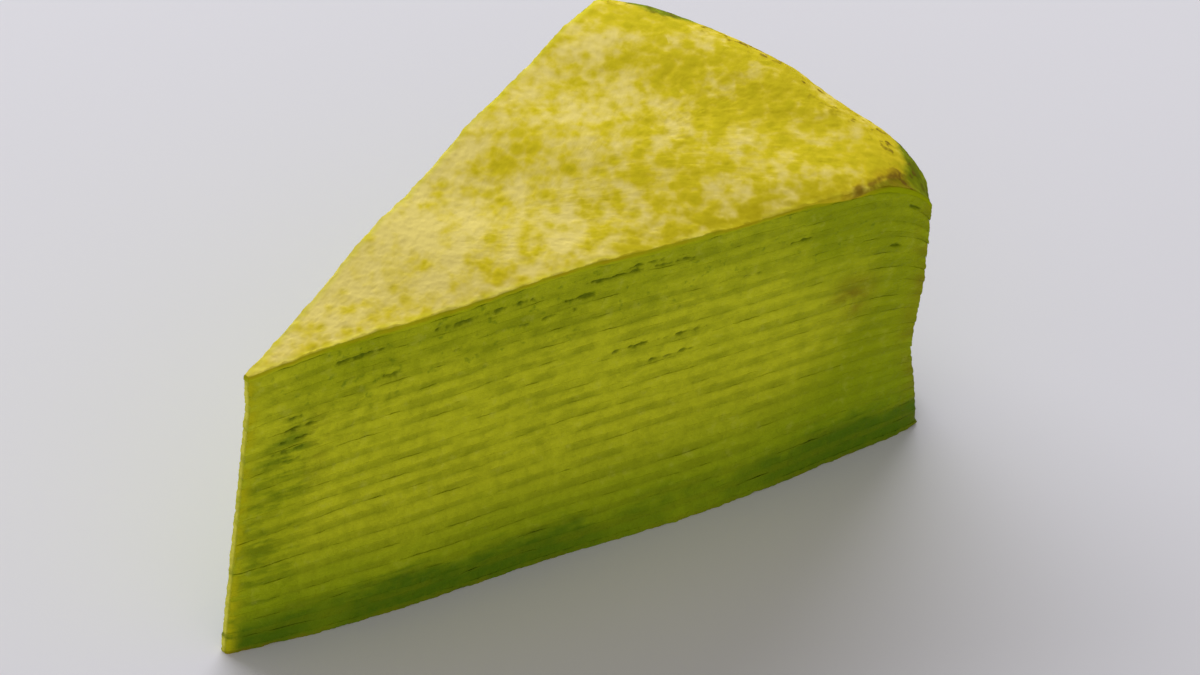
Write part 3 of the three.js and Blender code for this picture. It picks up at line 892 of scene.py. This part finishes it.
def layer_values(layer):
    """The name of the layer's node, its slot, and the values of the tree's inputs."""
    crepe = layer // 2
    values = {
        "Lower level": LEVELS[layer], "Upper level": LEVELS[layer + 1],
        "Lower seam": float(layer), "Upper seam": float(layer + 1), "Seed": layer * SEED_STEP,
        "Rim turn": crepe * GOLDEN_ANGLE, "Rings below": 4, "Rings in the wall": 8, "Rings above": 4,
        "Ring crowding": 2.0, "Top relief": 0.0, "Rim lip wave": RIM_LIP_WAVE,
        "Tip lip": TIP_OVERHANG * max(0.0, 1 - (LAYER_COUNT - 1 - layer) / TIP_OVERHANG_LAYERS),
    }
    if layer % 2:
        lip = (crepe_lip(crepe) + crepe_lip(crepe + 1)) / 2 - CREAM_SETBACK
        values.update({
            "Cut lip": 0.06, "Rim lip": lip, "Round below": 0.02, "Round above": 0.09,
            "Cut rag": 0.14, "Rim rag": 0.3, "Finish": CREAM})
        return f"cream_{crepe + 1:02d}", "cream", values
    values.update({
        "Cut lip": CUT_LIP, "Rim lip": crepe_lip(crepe), "Round below": 0.11, "Round above": 0.02,
        "Cut rag": 0.14, "Rim rag": 0.25, "Finish": CREPE})
    slot = "crepe"
    if crepe == 0:
        slot = "foot_crepe"
        values["Cut rag"] = 0.3
    if crepe == CREPE_COUNT - 1:
        slot = "top_crepe"
        values.update({
            "Rings above": 70, "Ring crowding": 1.0, "Top relief": 0.11, "Round above": 0.3, "Finish": TOP})
    return f"crepe_{crepe + 1:02d}", slot, values


print("values for", LAYER_COUNT, "layers ready")

# %% [markdown]
# ## The layers
# Each layer gets its own object with the tree on it. The tree could stay live on the object, but a
# plain mesh is what other programs can read. So the inputs are set before the tree first runs, and
# the result is kept as a mesh. It then takes the place of the solid of the same name.

# %% Making the layers


def make_layer(name, values):
    mesh = bpy.data.meshes.new(name)
    piece = bpy.data.objects.new(f"{name}_layer", mesh)
    bpy.context.collection.objects.link(piece)
    modifier = piece.modifiers.new("layer", "NODES")
    modifier.node_group = LAYER_TREE
    for socket in LAYER_TREE.interface.items_tree:
        if socket.in_out == "INPUT" and socket.name in values:
            modifier[socket.identifier] = values[socket.name]
    piece.update_tag()
    graph = bpy.context.evaluated_depsgraph_get()
    made = bpy.data.meshes.new_from_object(piece.evaluated_get(graph), depsgraph=graph)
    piece.modifiers.remove(modifier)
    piece.data = made
    made.name = name
    bpy.data.meshes.remove(mesh)
    return piece


triangles = 0
for layer in range(LAYER_COUNT):
    node, slot, values = layer_values(layer)
    piece = make_layer(node, values)
    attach(piece, "root")
    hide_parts(node)
    triangles += sum(len(face.vertices) - 2 for face in piece.data.polygons)
print("layers made:", LAYER_COUNT, "with", triangles, "triangles")

# %% [markdown]
# ## The floor
# The slice stands on a plain pale surface with no edge in sight. A curved backdrop would do too, but
# the camera looks down, so one wide flat face is enough. Its slightly blue grey balances the green
# light that the cake throws on it.

# %% Floor
FLOOR_REACH = 6.0
FLOOR_DARK, FLOOR_LIGHT = (0.785, 0.78, 0.845), (0.795, 0.79, 0.855)
FLOOR_CLOUD_SIZE, FLOOR_ROUGHNESS, FLOOR_BUMP, FLOOR_SHINE = 40.0, 0.85, 0.01, {"Specular IOR Level": 0.2}


def make_floor():
    corners = [(-1, -1), (1, -1), (1, 1), (-1, 1)]
    mesh = bpy.data.meshes.new("floor")
    mesh.from_pydata([(FLOOR_REACH * x, FLOOR_REACH * y, 0.0) for x, y in corners], [], [(0, 1, 2, 3)])
    floor = bpy.data.objects.new("floor", mesh)
    bpy.context.collection.objects.link(floor)
    material, board, place = new_finish("pale floor")
    cloud = board.cloud(place, FLOOR_CLOUD_SIZE, seed=3.0)
    colour = board.mix(cloud * 0.5 + 0.5, paint(FLOOR_DARK), paint(FLOOR_LIGHT))
    close_finish(board, colour, FLOOR_ROUGHNESS + cloud * 0.02, cloud, FLOOR_BUMP, FLOOR_SHINE)
    mesh.materials.append(material)


make_floor()
print("floor:", 2 * FLOOR_REACH, "metres wide")

# %% [markdown]
# ## The light
# The main light in the photo is large and soft and comes from behind on the left, like a window. So the
# top is bright, the cut face is in open shade, and a soft shadow falls towards the viewer. A sky would
# light it too, but a panel's size and direction can be fitted. A low weak panel in front opens the shade.

# %% Light
AMBIENT = 0.33
AMBIENT_TINT = (1.0, 0.95, 0.93)
scene = bpy.context.scene
world = bpy.data.worlds.new("soft studio")
scene.world = world
world.use_nodes = True
world.node_tree.nodes["Background"].inputs["Color"].default_value = paint(AMBIENT_TINT)
world.node_tree.nodes["Background"].inputs["Strength"].default_value = AMBIENT


def soft_light(name, turn, rise, distance, width, height, power, colour):
    """A flat panel of light that looks at the slice from this turn and rise, in degrees."""
    light = bpy.data.lights.new(name, "AREA")
    light.shape = "RECTANGLE"
    light.size = width
    light.size_y = height
    light.energy = power
    light.color = colour
    turn, rise = math.radians(turn), math.radians(rise)
    towards = Vector((math.cos(rise) * math.cos(turn), math.cos(rise) * math.sin(turn), math.sin(rise)))
    lamp = bpy.data.objects.new(name, light)
    lamp.location = towards * distance
    lamp.rotation_euler = (-towards).to_track_quat("-Z", "Y").to_euler()
    bpy.context.collection.objects.link(lamp)


soft_light(
    "window", turn=60.0, rise=27.0, distance=1.5, width=2.4, height=1.2,
    power=33.5, colour=(0.98, 0.995, 1.0))
soft_light(
    "fill", turn=235.0, rise=6.0, distance=1.5, width=2.0, height=0.3,
    power=6.6, colour=(1.0, 0.97, 0.95))
scene.view_settings.view_transform = "Standard"
print("lights:", len(bpy.data.lights))

# %% [markdown]
# ## The camera
# The photo looks down on the near cut and the top from in front of the tip. A camera could be placed by
# eye, but here its angles, distance and lens were fitted to the slice's outline in the photo, with a
# small roll, because the photo isn't level.

# %% Camera
AZIMUTH, ELEVATION, ROLL = math.radians(-47.23), math.radians(39.25), math.radians(3.0)
DISTANCE = 620.9 * MILLIMETRE
TARGET = Vector((11.0, -2.98, 17.74)) * MILLIMETRE
LENS, SENSOR, CLIP_START = 141.17, 36.0, 0.01


def make_camera():
    camera = bpy.data.cameras.new("camera")
    camera.lens = LENS
    camera.sensor_width = SENSOR
    camera.clip_start = CLIP_START
    holder = bpy.data.objects.new("camera", camera)
    level = math.cos(ELEVATION)
    back = Vector((math.sin(AZIMUTH) * level, -math.cos(AZIMUTH) * level, math.sin(ELEVATION)))
    right = Vector((math.cos(AZIMUTH), math.sin(AZIMUTH), 0.0))
    up = back.cross(right)
    side = math.cos(ROLL) * right + math.sin(ROLL) * up
    rise = math.cos(ROLL) * up - math.sin(ROLL) * right
    holder.matrix_world = Matrix((side, rise, back)).transposed().to_4x4()
    holder.location = TARGET + DISTANCE * back
    bpy.context.collection.objects.link(holder)
    scene.camera = holder


make_camera()
print("camera:", LENS, "mm lens,", round(DISTANCE, 3), "metres away")
